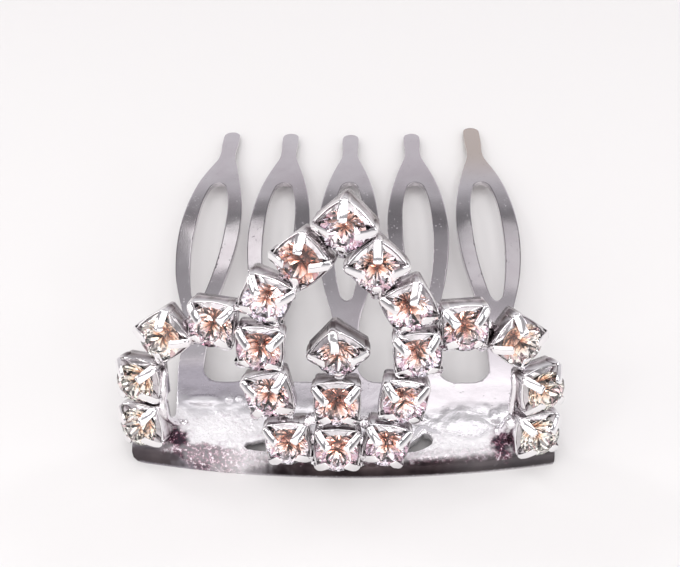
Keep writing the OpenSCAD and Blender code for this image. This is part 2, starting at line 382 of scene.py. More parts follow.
def spill(x, y):
    # where the solder has run down over the lip
    n = clouds(x, y, 0.9, 1.4, 8.0) + 0.6 * clouds(x, y, 2.8, 3.0, 2.0)
    return smooth(-17.0, -14.6, x + 0.9 * n) * (1 - smooth(-11.5, -5.0, x + 1.6 * n))


def solderRun(x, y):
    # how thickly solder has run over the front of the plate, 0 to 1
    front = y - bow(x)
    n = clouds(x, y, 0.22, 0.35, 3.1) * 1.2 + clouds(x, y, 0.7, 0.8, 7.7) * 0.5
    back = (solder["backLeft"] if x < 0 else solder["backRight"]) + 1.1 * n
    edge = 0.75 + 0.5 * n - 0.8 * spill(x, y)
    amount = smooth(edge, edge + 0.45, front) * (1 - smooth(back - 1.6, back + 0.9, front))
    return amount * (1 - smooth(*solder["ends"], abs(x)))


def sugar(x, y):
    # how grainy the solder is, strongest along the front
    front = y - bow(x)
    back = (solder["grainyLeft"] if x < 0 else solder["grainyRight"]) + 1.4 * clouds(x, y, 0.45, 0.5, 12.4)
    return solderRun(x, y) * (1 - smooth(back - 0.8, back + 1.4, front)) * (1 - poolAt(x, y)[1])


def fluxStain(x, y):
    # dark flux that has run out beside the side strands and along the lip
    front = y - bow(x)
    n = clouds(x, y, 0.9, 0.9, 41.0) * 0.6 + clouds(x, y, 2.6, 2.6, 17.0) * 0.5
    spots = [1 - smooth(0.5, fade, hypot((x - cx) / hx, (front - cy) / hy) + 0.5 * n)
             for cx, cy, hx, hy, fade in stains]
    low = 0.5 * spill(x, y)
    edge = ((1 - smooth(0.0, 0.6, abs(front - 1.45 + low) - 0.25 - low + 0.6 * n))
            * (0.25 + 0.5 * smooth(-8.5, -13.0, x)))
    return max(*spots, edge * (1 - smooth(17.0, 18.5, abs(x))))


def lumpAt(x, s, y):
    # height of the solder over the sheet
    if not 0.3 < s < 12:
        return 0.0
    lump, run = 0.0, solderRun(x, y)
    rise, cover = poolAt(x, y)
    if run > 0:
        grain = sugar(x, y) * solder["grains"]
        lump = run * (solder["thick"] + solder["lumps"] * clouds(x, s, 0.9, 0.9, 1.3) * (1 - cover))
        lump += grain * abs(clouds(x, s, 2.7, 2.7, 5.2))
        lump += grain * 0.5 * clouds(x, s, 5.5, 5.5, 9.2)
    return lump + (rise + rimAt(x, y))


def paintedDarkLip(x, y, z):
    # the rolled lip is painted dark, a painted reflection of dark surroundings, but not where solder has run
    # over it
    if y >= 12:
        return 0.0
    return ((1 - smooth(0.85, 1.45, y - bow(x))) * smooth(0.1, 0.35, z)
            * (1 - 0.9 * spill(x, y)) * (1.0 - 0.07 * smooth(9, 14, abs(x))))


def satinAndShade(x, y):
    # dull plating behind the solder, duller on the left; its darker tone toward the left is painted shade
    return (1 - smooth(11.5, 15.0, y)) * (1.0 - 0.2 * smooth(6.0, 9.0, x) - 0.3 * smooth(-12.0, -9.0, x))


def warmerTip(x, y):
    # the tip of the last tooth is toned warmer and darker
    return smooth(12.0, 14.0, x) * smooth(41.0, 50.0, y)


def unevenness(x, s):
    # the sheet is not quite flat
    return 0.04 * clouds(x, s, 0.16, 0.13, 21.0) + 0.006 * clouds(x, s, 0.5, 0.4, 33.0)


slotLoops = [
    [(6.6, 2.0), (6.8, 2.8), (7.6, 3.5), (8.3, 4.15), (8.85, 3.95), (9.2, 3.5), (9.05, 3.0), (8.2, 2.4),
     (7.3, 2.1)],
    [(-9.8, 2.5), (-9.6, 3.0), (-8.2, 3.35), (-6.6, 3.6), (-6.4, 2.6), (-7.6, 2.0), (-9.4, 2.2)],
]


def addObject(name, data):
    obj = bpy.data.objects.new(name, data)
    bpy.context.scene.collection.objects.link(obj)
    return obj


def makeMesh(name, verts, faces, materials, smoothed=True):
    mesh = bpy.data.meshes.new(name)
    mesh.from_pydata(verts, [], faces)
    mesh.validate()
    mesh.update()
    for m in materials:
        mesh.materials.append(m)
    if smoothed:
        mesh.shade_smooth()
    return addObject(name, mesh)


def asMetal(obj):
    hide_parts("soldered_metal")
    return obj


def applyModifiers(obj):
    deps = bpy.context.evaluated_depsgraph_get()
    fresh = bpy.data.meshes.new_from_object(obj.evaluated_get(deps))
    old = obj.data
    obj.modifiers.clear()
    obj.data = fresh
    bpy.data.meshes.remove(old)


def writeGrey(obj, name, values):
    # a grey value at each corner of the mesh
    layer = obj.data.color_attributes.new(name, "FLOAT_COLOR", "POINT")
    for point, value in zip(layer.data, values):
        point.color = (value, value, value, 1)


def paint(obj, name, valueAt):
    # the value is worked out from the place in mm
    writeGrey(obj, name, [valueAt(v.co / mm + middle) for v in obj.data.vertices])


def sheetTriangles():
    # the sheet unrolled flat: its corners, across and along, and the triangles between them
    c = comb
    half, strip = c["bandHalf"], c["strip"]
    outline = [(x, alongSheet(x, y)) for x, y in combOutline()]
    # the rounded front corners of the band, left and right
    outline += [(-half, 1.3), (-half + 0.12, 0.7), (-half + 0.5, 0.2), (-half + 1.2, 0.0),
                (half - 0.5, 0.0), (half - 0.08, 0.12), (half, 0.5)]
    loops = [resample(outline, c["edgeStep"])]
    for holes, step in (([toothEye(t) for t in teeth], c["edgeStep"]), (slotLoops, c["slotStep"])):
        loops += [resample([(x, alongSheet(x, y)) for x, y in hole], step) for hole in holes]
    # loose points, close together where the solder has run
    grids = []
    areas = ((c["fineStep"], (-21.2, 21.3), (0.1, 9.4)), (c["step"], (-21.3, 21.4), (9.6, 57)))
    for step, across, along in areas:
        gx, gy = np.meshgrid(np.arange(*across, step), np.arange(*along, step))
        grids.append((gx.ravel(), gy.ravel(), np.full(gx.size, step)))
    px, py, size = (np.concatenate(column) for column in zip(*grids))
    rng = np.random.default_rng(5)
    px = px + rng.uniform(-c["jitter"], c["jitter"], len(px)) * size
    py = py + rng.uniform(-c["jitter"], c["jitter"], len(py)) * size
    keep = inMetal(px, py, loops)
    px, py, size = px[keep], py[keep], size[keep]
    far = nearLoop(px, py, loops) > np.maximum(0.62 * size, strip + 0.1)
    # one even row of points along every cut edge
    rows = inset(leftward(loops[0]), strip)
    for hole in loops[1:]:
        rows += inset(leftward(hole, outside=True), strip)
    rx, ry = np.array(rows).T
    clear = nearLoop(rx, ry, loops) > 0.8 * strip
    px, py = np.concatenate([px[far], rx[clear]]), np.concatenate([py[far], ry[clear]])
    verts, edges = [], []
    for loop in loops:
        base = len(verts)
        verts += [Vector(p) for p in loop]
        edges += [(base + i, base + (i + 1) % len(loop)) for i in range(len(loop))]
    verts += [Vector((x, y)) for x, y in zip(px, py)]
    flat, _, tris = delaunay_2d_cdt(verts, edges, [], 0, 1e-6)[:3]
    fx, fy = np.array(flat).T
    mid = np.array([[sum(fx[i] for i in t) / 3, sum(fy[i] for i in t) / 3] for t in tris])
    good = inMetal(mid[:, 0], mid[:, 1], loops)
    return fx, fy, [t for t, g in zip(tris, good) if g]


def makeComb(material):
    c = comb
    probe = 0.05
    fx, fy, tris = sheetTriangles()
    top, under = [], []
    for x, s in zip(fx, fy):
        # the sheet keeps inside the CAD, and only the solder stands over it
        p = onSheet(x, s)
        dx = onSheet(x + probe, s) - onSheet(x - probe, s)
        ds = onSheet(x, s + probe) - onSheet(x, max(s - probe, 0.0))
        n = dx.cross(ds).normalized()
        p = p + n * (unevenness(x, s) * smooth(2.0, 5.0, s) - c["shy"])
        low = p - n * (c["sheet"] - 2 * c["shy"])
        high = p + n * lumpAt(x, s, p.y)
        top.append(Vector((high.x, high.y, max(high.z, c["lowTop"]))))
        under.append(Vector((low.x, low.y, max(low.z, c["lowUnder"]))))
    count = len(top)
    verts = [(v - middle) * mm for v in top + under]
    faces = [tuple(t) for t in tris] + [tuple(count + i for i in reversed(t)) for t in tris]
    # a wall wherever an edge has a triangle on one side only
    edges = dict.fromkeys((t[i], t[(i + 1) % 3]) for t in tris for i in range(3))
    faces += [(b, a, count + a, count + b) for a, b in edges if (b, a) not in edges]
    obj = makeMesh("stamped_comb", verts, faces, [material])
    bev = obj.modifiers.new("edge", "BEVEL")
    bev.width = c["edge"] * mm
    bev.segments = 2
    bev.limit_method = "ANGLE"
    bev.angle_limit = radians(55)
    bev.use_clamp_overlap = True
    applyModifiers(obj)
    onTop = lambda p: p.z > 1.2 or p.y - bow(p.x) < 0.5
    paint(obj, "solderRun", lambda p: max(solderRun(p.x, p.y), poolAt(p.x, p.y)[1]) if onTop(p) else 0.0)
    # the lip mask carries the painted reflection of dark surroundings on the rolled lip
    paint(obj, "lip", lambda p: paintedDarkLip(*p))
    paint(obj, "satinAndShade", lambda p: satinAndShade(p.x, p.y))
    paint(obj, "warmerTip", lambda p: warmerTip(p.x, p.y))
    paint(obj, "fluxStain", lambda p: fluxStain(p.x, p.y) if onTop(p) and p.y < 9 else 0.0)
    paint(obj, "sugar", lambda p: sugar(p.x, p.y) if onTop(p) else 0.0)
    return asMetal(obj)


def onFace(across, up, turned, nod, back, swung):
    # a place on the face of the tiara: along the bow of the band, up the lean, then turned in place
    r = comb["bowR"]
    move = lambda *way: Matrix.Translation(way)
    turn = lambda angle, axis: Matrix.Rotation(radians(angle), 4, axis)
    m = move(*(-middle + face["setBack"] * back)) @ move(0, r + face["footY"], 0)
    m = m @ turn(degrees(across / r), "Z") @ move(0, -r, face["footZ"]) @ turn(-face["lean"], "X")
    return m @ move(0, 0, up) @ turn(nod, "X") @ turn(swung, "Z") @ turn(90, "X") @ turn(turned, "Z")


def betweenCups(a, b):
    p, q = (np.array(cups[i][1:]) for i in (a, b))
    m = (p + q) / 2
    return onFace(*m[:2], degrees(atan2(q[1] - p[1], q[0] - p[0])), *m[3:])


def squareRing(half, corner, z, dip=0.0, bulge=0.0):
    # points round a square with eased corners, its sides dipping and swelling between them
    n, m = 5, 8  # points round a corner, and along a side
    pts = []
    for k in range(4):
        a0 = radians(90 * k)
        cx = (half - corner) * (1, -1, -1, 1)[k]
        cy = (half - corner) * (1, 1, -1, -1)[k]
        for i in range(n):
            a = a0 + pi / 2 * i / (n - 1)
            pts.append((cx + corner * cos(a), cy + corner * sin(a), z))
        x0, y0, _ = pts[-1]
        out = (-sin(a0), cos(a0))
        along = (-out[1], out[0])
        run = 2 * (half - corner)
        for i in range(1, m):
            t = i / m
            swell = bulge * sin(pi * t)
            pts.append((x0 + along[0] * run * t + out[0] * swell, y0 + along[1] * run * t + out[1] * swell,
                        z - dip * sin(pi * t) ** 2))
    return pts


def stackRings(rings):
    # skins a pile of rings and closes its two ends
    verts = [Vector(p) for ring in rings for p in ring]
    n = len(rings[0])
    faces = [(k * n + i, k * n + (i + 1) % n, (k + 1) * n + (i + 1) % n, (k + 1) * n + i)
             for k in range(len(rings) - 1) for i in range(n)]
    faces.append(tuple(range(n))[::-1])
    faces.append(tuple((len(rings) - 1) * n + i for i in range(n)))
    return verts, faces


def cupMesh(rng):
    c = cupShape
    h, w, d, f, k = c["half"], c["wall"], c["depth"], c["footHalf"], c["corner"]
    dip = c["dip"] * rng.uniform(0.5, 1.5)
    swell = c["bulge"] * rng.uniform(0.7, 1.2)
    verts, faces = stackRings([
        squareRing(f - 0.16, k * 0.8, -d),
        squareRing(f, k, -d + 0.14),
        squareRing((f + h) / 2, k, -d * 0.5, 0, swell * 0.6),
        squareRing(h - 0.02, k, -0.14, dip * 0.8, swell),
        squareRing(h - 0.05, k, -0.03, dip, swell),
        squareRing(h - w / 2, k * 0.8, 0.01, dip, swell),
        squareRing(h - w + 0.03, k * 0.6, -0.03, dip, swell),
        squareRing(h - w, k * 0.6, -0.12, dip * 0.8, swell * 0.8),
        squareRing(1.9, 0.9, -0.07),
        squareRing(1.70, 1.3, 0.06),
        squareRing(1.6, 1.4, -0.06),
        squareRing(1.42, 1.32, -0.9),
        squareRing(1.3, 1.2, c["floor"] - d),
    ])
    # the seat and the walls are not quite even
    seed = rng.uniform(0, 60)
    for v in verts:
        dent = noise.noise(Vector((v.x * 1.1 + seed, v.y * 1.1, v.z * 0.8)))
        fine = noise.noise(Vector((v.x * 3.1, v.y * 3.1 + seed, 4.0)))
        if hypot(v.x, v.y) < 2.0 or max(abs(v.x), abs(v.y)) < 1.97:
            v.z += 0.03 * dent + (0.04 * fine if v.z > -0.2 else 0.0)
        elif v.z > c["footZ"]:
            swollen = 1 + 0.010 * dent
            v.x, v.y = v.x * swollen, v.y * swollen
    return verts, faces


def prongMesh(angle, rng):
    # the corner of the cup drawn up, folded in over the stone and flattened
    p = prongShape
    wide, wrap = p["width"], p["wrap"]
    tip = p["tip"] + rng.uniform(-0.08, 0.1)
    top = p["fold"] + rng.uniform(-0.02, 0.04)
    over = lambda r: top + (p["bend"] - r) * p["slope"] + p["bow"] * (p["bend"] - r) * (r - p["bowEnd"])
    # distance from the middle, height, width, how much it still wraps the corner, thickness
    path = [
        (2.88, -1.3, wrap * 0.9, 1.0, 0.10),
        (2.90, -0.9, wrap, 1.0, 0.16),
        (2.90, -0.42, wrap, 0.95, 0.18),
        (2.90, -0.1, wrap * 0.97, 0.8, 0.18),
        (2.88, top - 0.35, wide * 1.06, 0.45, 0.18),
        (2.80, top - 0.22, wide * 1.02, 0.2, 0.18),
        (2.68, over(2.68) - 0.02, wide, 0.06, 0.18),
        (2.5, over(2.5), wide, 0.0, 0.18),
        (2.1, over(2.1), wide, 0.0, 0.18),
        (1.7, over(1.7), wide, 0.0, 0.17),
        (tip + 0.3, over(tip + 0.3), wide, 0.0, 0.16),
        (tip + 0.14, over(tip + 0.14) - 0.01, wide * 0.95, 0.0, 0.14),
        (tip + 0.05, over(tip + 0.05) - 0.03, wide * 0.84, 0.0, 0.1),
        (tip, over(tip) - 0.05, wide * 0.64, 0.0, 0.05),
    ]
    rings = []
    for i, (r, z, width, wraps, thick) in enumerate(path):
        r0, z0 = path[max(i - 1, 0)][:2]
        r1, z1 = path[min(i + 1, len(path) - 1)][:2]
        t = Vector((r1 - r0, 0, z1 - z0)).normalized()
        out = Vector((t.z, 0, -t.x))
        ring = []
        for side in (1, -1):
            for k in range(9):
                a = (k / 8 - 0.5) * side
                y = a * width
                edge = 1 - (2 * abs(a)) ** 2.6 * (0.8 if side > 0 else 0.5)
                drop = min(abs(y), 0.3) ** 2 * 1.37 + max(0.0, abs(y) - 0.3)
                ring.append(Vector((r, y, z)) + out * (thick / 2 * side * edge - drop * wraps))
        rings.append(ring)
    verts, faces = stackRings(rings)
    twist = Matrix.Rotation(radians(angle + rng.uniform(-6, 6)), 4, "Z")
    return [twist @ v for v in verts], faces


def joinParts(name, parts, material):
    verts, faces = [], []
    for v, f in parts:
        base = len(verts)
        verts += v
        faces += [tuple(base + i for i in face) for face in f]
    return makeMesh(name, verts, faces, [material])


def placed(part, m):
    verts, faces = part
    return [(m @ v) * mm for v in verts], faces


# stones whose cups get painted shade on their side walls, and how dark
shadedCups = {"center_stone_top": 0.85, "center_stone_middle": 0.7, "left_side_stone_3": 0.5,
              "right_side_stone_2": 0.55}


def makeCups(material):
    c = cupShape
    rng = random.Random(11)
    walls, prongs = [], []
    depths, shades = [[], []], [[], []]
    for stone, *place in cups:
        m = onFace(*place)
        cup = cupMesh(rng)
        grips = [prongMesh(45 + 90 * k, rng) for k in range(4)]
        walls.append(placed(cup, m))
        prongs += [placed(grip, m) for grip in grips]
        # the inside and the foot of the cup take an even painted shade and none of the extra shade
        half = len(cup[0]) // 2
        evenShade = [k >= half or v.z < c["footZ"] for k, v in enumerate(cup[0])]
        depths[0] += [c["insideZ"] if b else v.z for b, v in zip(evenShade, cup[0])]
        depths[1] += [v.z for grip in grips for v in grip[0]]
        shade = shadedCups.get(stone, 0.0)
        shades[0] += [0.0 if b else shade for b in evenShade]
        shades[1] += [shade for grip in grips for v in grip[0]]
    made = [joinParts("square_cups", walls, material), joinParts("prongs", prongs, material)]
    for obj, depth, shade in zip(made, depths, shades):
        writeGrey(obj, "downSide", [smooth(*c["dullAndShaded"], -z) for z in depth])
        writeGrey(obj, "shade", [s * smooth(0.0, 0.4, -z) for s, z in zip(shade, depth)])
        recalcNormals(obj)
        obj.data.set_sharp_from_angle(angle=radians(c["crease"]))
    return [asMetal(obj) for obj in made]


def recalcNormals(obj):
    bm = bmesh.new()
    bm.from_mesh(obj.data)
    bmesh.ops.recalc_face_normals(bm, faces=bm.faces)
    bm.to_mesh(obj.data)
    bm.free()


def blob(rng, sx, sy, sz, rough=0.16):
    # a lump of set solder
    bm = bmesh.new()
    bmesh.ops.create_icosphere(bm, subdivisions=3, radius=1.0)
    seed = Vector((rng.uniform(0, 50), 0, 0))
    verts = []
    for v in bm.verts:
        k = 1 + rough * noise.noise(v.co * 1.6 + seed)
        verts.append(Vector((v.co.x * sx * k, v.co.y * sy * k, v.co.z * sz * k)))
    faces = [tuple(v.index for v in f.verts) for f in bm.faces]
    bm.free()
    return verts, faces


# runs of solder drawn up from the plate along the side strands: points in mm, thickness
fillets = [
    ([(-16.95, 6.3, 9.8), (-17.05, 5.55, 9.1), (-17.15, 4.9, 8.3), (-17.4, 4.6, 7.1), (-17.4, 4.1, 6.1),
      (-17.3, 3.9, 5.0), (-17.3, 4.3, 3.6), (-17.1, 4.9, 2.4), (-16.6, 5.25, 1.8), (-15.7, 5.35, 1.6)], 0.42),
    ([(16.4, 5.8, 10.0), (16.6, 5.1, 8.9), (16.6, 4.7, 7.6), (16.5, 4.3, 6.6), (16.6, 4.0, 5.6)], 0.36),
    ([(16.7, 3.6, 5.4), (16.5, 3.7, 4.2), (16.3, 3.9, 3.0), (16.2, 4.2, 2.1), (16.0, 4.8, 1.5)], 0.8),
]
# drops of solder between the corners of the low cups: across, up, size
solderDrops = [(2.15, 5.25, 0.72), (-2.85, 5.65, 0.78), (-2.6, 1.0, 0.5), (1.95, 0.9, 0.45),
               (-4.9, 6.1, 0.55), (5.6, 5.6, 0.5)]
# half sizes of the beads of solder, and the height of those between cups
beads = {
    "link": (1.05, 0.62, 0.24, 0.05),  # bar behind two cups of the chain, with its roughness
    "chain": (0.5, 0.5, 0.55),  # on that bar
    "pair": (0.62, 0.75, 0.75),  # between cups soldered side by side
    "foot": (0.95, 0.42, 0.5),  # under the cups on the band
    "between": -1.5,
}


def solderTube(points, radius, rng):
    # a run of solder along a line of points, uneven and rounded at its ends
    path = [Vector(p) for p in points]
    fine = []
    for i in range(len(path) - 1):
        a, b, c, d = path[max(i - 1, 0)], path[i], path[i + 1], path[min(i + 2, len(path) - 1)]
        for k in range(4):
            t = k / 4
            fine.append(0.5 * (2 * b + (c - a) * t + (2 * a - 5 * b + 4 * c - d) * t * t
                               + (3 * b - a - 3 * c + d) * t ** 3))
    fine.append(path[-1])
    seed = rng.uniform(0, 40)
    rings = []
    last = len(fine) - 1
    for i, p in enumerate(fine):
        t = (fine[min(i + 1, last)] - fine[max(i - 1, 0)]).normalized()
        side = t.cross(Vector((0.2, -0.7, 0.7))).normalized()
        up = side.cross(t)
        end = sqrt(max(0.02, 1 - abs(2 * i / last - 1) ** 8))
        r = radius * end * (1 + 0.25 * noise.noise(p * 0.9 + Vector((seed, 0, 0))))
        turns = (radians(36 * k) for k in range(10))
        rings.append([p + side * r * cos(a) + up * r * sin(a) for a in turns])
    verts, faces = stackRings(rings)
    return [(v - middle) * mm for v in verts], faces


def makeJoints(material):
    rng = random.Random(23)
    c, between = cupShape, beads["between"]
    parts = []

    def add(part, m, *shift):
        parts.append(placed(part, m @ Matrix.Translation(shift)))

    for a, b in chainPairs:
        m = betweenCups(a, b)
        add(blob(rng, *beads["link"]), m, 0, 0, -c["depth"] + 0.12)
        add(blob(rng, *beads["chain"]), m, 0, rng.uniform(-0.6, 0.6), between)
    for a, b in solderPairs:
        add(blob(rng, *beads["pair"]), betweenCups(a, b), 0, 0, between)
    for i in footCups:
        _, across, up, _, *lean = cups[i]
        m = onFace(across, up, 0, *lean)
        for k in range(3):
            x = (k - 1) * 1.2 + rng.uniform(-0.2, 0.2)
            add(blob(rng, *beads["foot"]), m, x, 0.3 - c["half"], -c["depth"] + 0.05)
    for across, up, size in solderDrops:
        m = onFace(across, up, 0, 0, 0, 0)
        for _ in range(3):
            x, y = (rng.uniform(-0.4, 0.4) * size for _ in range(2))
            z = -0.85 + rng.uniform(-0.2, 0.2)
            add(blob(rng, size * 0.7, size * 0.6, 0.45, 0.5), m, x, y, z)
    parts += [solderTube(points, radius, rng) for points, radius in fillets]
    return asMetal(joinParts("solder_joints", parts, material))


def stoneMesh():
    s = stoneShape
    verts, faces, kinds = [], [], []

    def ring(count, r, z, shift=0.0):
        first = len(verts)
        for i in range(count):
            a = 2 * pi * (i + shift) / count
            verts.append(Vector((r * cos(a), r * sin(a), z)))
        return first

    g = s["girdleZ"]
    table = ring(8, s["table"], g + s["crown"])
    star = ring(8, (s["table"] + s["radius"]) / 2 * s["starOut"], g + s["crown"] * s["starUp"], 0.5)
    upper = ring(16, s["radius"], g)
    lower = ring(16, s["radius"], g - s["girdle"])
    belt = ring(8, s["radius"] * s["beltOut"], g - s["girdle"] - s["back"] * s["beltDown"], 0.5)
    tip = len(verts)
    verts.append(Vector((0, 0, g - s["girdle"] - s["back"])))

    def add(face, kind):
        faces.append(face)
        kinds.append(kind)

    add(tuple(table + i for i in range(8)), 0)
    for i in range(8):
        add((table + i, star + i, table + (i + 1) % 8), 0)
        a, b, d = upper + 2 * i, upper + 2 * i + 1, upper + (2 * i + 2) % 16
        add((table + i, star + (i + 7) % 8, a, star + i), 0)
        add((star + i, a, b), 0)
        add((star + i, b, d), 0)
    for i in range(16):
        j = (i + 1) % 16
        add((upper + i, lower + i, lower + j, upper + j), 0)
    for i in range(8):
        a, b, d = lower + 2 * i, lower + 2 * i + 1, lower + (2 * i + 2) % 16
        add((a, belt + i, b), 1)
        add((b, belt + i, d), 1)
        add((a, belt + (i + 7) % 8, tip, belt + i), 1)
    return verts, faces, kinds


# stones whose foil is painted deeper brown than the rest as painted shade, and by how much
darkStones = {"left_arch_stone_1": 0.36, "left_arch_stone_3": 0.20, "center_stone_middle": 0.20}
facets = {
    "usualDark": 0.02,
    "shift": (-0.16, 0.12),  # random change of tone from facet to facet
    "mauve": 0.32,  # share of mauve facets on the back
    "highest": 0.86,  # tone of the clear ones
}


def makeStones(glass, foil):
    rng = random.Random(41)
    verts, faces, kinds = stoneMesh()
    made = []
    for stone, *place in cups:
        m = onFace(*place) @ Matrix.Rotation(radians(rng.uniform(0, 45)), 4, "Z")
        obj = makeMesh("cut_" + stone, [(m @ v) * mm for v in verts], faces, [glass, foil], smoothed=False)
        recalcNormals(obj)
        tone, champagne = (obj.data.color_attributes.new(name, "FLOAT_COLOR", "CORNER")
                           for name in ("facetTone", "champagne"))
        golden = rng.uniform(0.0, 0.25) + 0.75 * smooth(11, 18, abs(place[0]))
        dark = darkStones.get(stone, facets["usualDark"])
        for poly, kind in zip(obj.data.polygons, kinds):
            poly.material_index = kind
            shift = rng.uniform(*facets["shift"])
            mauve = kind == 1 and rng.random() < facets["mauve"]
            for loop in poly.loop_indices:
                corner = verts[obj.data.loops[loop].vertex_index]
                out = hypot(corner.x, corner.y) / stoneShape["radius"]
                # brown and peach in the middle, clear and mauve toward the rim, varied from facet to facet:
                # partly the stone's own peach, partly painted reflections of the room
                value = min(max(1.15 * out + 0.1 * golden + shift - dark, 0.0), facets["highest"])
                if mauve and out > 0.3:
                    value = 1.0
                if kind == 0:
                    value = 0.0 if poly.index == 0 else 0.7 + 1.8 * shift
                tone.data[loop].color = (value, value, value, 1)
                champagne.data[loop].color = (golden, golden, golden, 1)
        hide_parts(stone)
        made.append(obj)
    return made


def feed(tree, node, values):
    # numbers and colours are set, outputs of other nodes are linked
    for key, value in values.items():
        if isinstance(value, bpy.types.NodeSocket):
            tree.links.new(value, node.inputs[key])
        else:
            node.inputs[key].default_value = (*value, 1) if isinstance(value, tuple) else value


def addNode(tree, kind, output, values, **settings):
    n = tree.nodes.new("ShaderNode" + kind)
    for name, value in settings.items():
        setattr(n, name, value)
    feed(tree, n, values)
    return n.outputs[output]


def newMaterial(name, values):
    mat = bpy.data.materials.new(name)
    mat.use_nodes = True
    tree = mat.node_tree
    tree.nodes.clear()
    out = tree.nodes.new("ShaderNodeOutputMaterial")
    skin = tree.nodes.new("ShaderNodeBsdfPrincipled")
    feed(tree, skin, values)
    tree.links.new(skin.outputs[0], out.inputs[0])
    return mat, tree, skin


def objectPlace(tree):
    return addNode(tree, "TexCoord", "Object", {})


def addNoise(tree, vector, scale, detail, roughness=0.5):
    return addNode(tree, "TexNoise", "Fac",
                   {"Vector": vector, "Scale": scale, "Detail": detail, "Roughness": roughness})


def multiply(tree, a, b, plus=None):
    # a times b, plus a third value if one is given
    if plus is None:
        return addNode(tree, "Math", 0, {0: a, 1: b}, operation="MULTIPLY")
    return addNode(tree, "Math", 0, {0: a, 1: b, 2: plus}, operation="MULTIPLY_ADD")


def addRange(tree, value, low, high):
    return addNode(tree, "MapRange", 0, {"Value": value, "From Min": low, "From Max": high})


def addRamp(tree, value, stops):
    n = tree.nodes.new("ShaderNodeValToRGB")
    e = n.color_ramp.elements
    e[0].position, e[0].color = stops[0][0], (*stops[0][1], 1)
    e[1].position, e[1].color = stops[-1][0], (*stops[-1][1], 1)
    for position, colour in stops[1:-1]:
        e.new(position).color = (*colour, 1)
    tree.links.new(value, n.inputs[0])
    return n.outputs[0]


def addMix(tree, factor, a, b, kind="MIX"):
    return addNode(tree, "Mix", 2, {0: factor, 6: a, 7: b}, data_type="RGBA", blend_type=kind)


def attribute(tree, name):
    return addNode(tree, "Attribute", "Fac", {}, attribute_name=name)


def makeGroup(name, **sides):
    g = bpy.data.node_groups.new(name, "ShaderNodeTree")
    for side, sockets in sides.items():
        for label, kind in sockets:
            g.interface.new_socket(label, in_out=side, socket_type="NodeSocket" + kind)
    return g, g.nodes.new("NodeGroupInput").outputs, g.nodes.new("NodeGroupOutput").inputs


plateTraits = ("Silver", "Tarnish", "Tint", "Shine", "Dullness", "Pimples", "Grain")


def platingGroup():
    # thin silver plating: faint clouds of tint, pimples in the plating and a fine grain
    g, given, wanted = makeGroup(
        "unevenPlating",
        INPUT=[(trait, "Color" if trait in ("Silver", "Tarnish") else "Float") for trait in plateTraits],
        OUTPUT=[("Colour", "Color"), ("Roughness", "Float"), ("Height", "Float")])
    place = objectPlace(g)
    cloud = addNoise(g, place, 170, 3)
    patch = addNoise(g, place, 620, 3, 0.6)
    fine = addNoise(g, place, 4200, 3, 0.6)
    dot = addRange(g, addNode(g, "TexVoronoi", "Distance", {"Vector": place, "Scale": 2300}), 0.24, 0.06)
    pimple = multiply(g, multiply(g, dot, addRange(g, patch, 0.55, 0.62)), given["Pimples"])
    g.links.new(multiply(g, fine, given["Grain"], pimple), wanted["Height"])
    worn = multiply(g, addRange(g, cloud, 0.38, 0.66), given["Tint"])
    g.links.new(addMix(g, worn, given["Silver"], given["Tarnish"]), wanted["Colour"])
    dullAndShaded = multiply(g, multiply(g, patch, cloud), given["Dullness"], given["Shine"])
    g.links.new(dullAndShaded, wanted["Roughness"])
    return g


metals = {
    # plain sheet of the comb, cups and prongs, set solder
    "comb": {"silver": (0.73, 0.705, 0.73), "tarnish": (0.55, 0.48, 0.52), "tint": 0.35, "shine": 0.055,
             "dullness": 0.16, "pimples": 0.6, "grain": 0.04, "bump": 0.03},
    "cup": {"silver": (0.94, 0.93, 0.94), "tarnish": (0.80, 0.70, 0.70), "tint": 0.2, "shine": 0.05,
            "dullness": 0.12, "pimples": 0.2, "grain": 0.06, "bump": 0.03},
    "solder": {"silver": (0.92, 0.90, 0.92), "tarnish": (0.70, 0.62, 0.64), "tint": 0.3, "shine": 0.08,
               "dullness": 0.2, "pimples": 0.4, "grain": 0.3, "bump": 0.05},
}
tones = {
    "warmerTip": (0.64, 0.57, 0.52), "dullShadedPlate": (0.43, 0.405, 0.45),
    "solder": (0.95, 0.935, 0.96), "sugar": (1.0, 0.985, 1.0), "pits": (0.52, 0.42, 0.50),
    "lip": [(0.3, (0.012, 0.008, 0.010)), (0.7, (0.065, 0.050, 0.052))],
    "flux": [(0.40, (0.030, 0.014, 0.028)), (0.50, (0.13, 0.03, 0.06)), (0.56, (0.62, 0.36, 0.46)),
             (0.60, (0.98, 0.94, 0.98))],
    "cupSides": [(0.35, (0.13, 0.10, 0.10)), (0.6, (0.44, 0.38, 0.41))],
    "cupShade": (0.06, 0.04, 0.04),
    "glass": [(0.0, (0.99, 0.95, 0.935)), (0.3, (0.97, 0.90, 0.90)), (0.7, (0.99, 0.97, 1.0)),
              (1.0, (0.94, 0.95, 1.0))],
    "foil": [(0.0, (0.16, 0.07, 0.06)), (0.14, (0.42, 0.21, 0.16)), (0.30, (0.86, 0.61, 0.51)),
             (0.50, (0.96, 0.87, 0.86)), (0.72, (0.95, 0.93, 0.98)), (0.86, (0.95, 0.96, 1.0)),
             (1.0, (0.60, 0.45, 0.52))],
    "golden": (0.955, 0.98, 0.88),
}


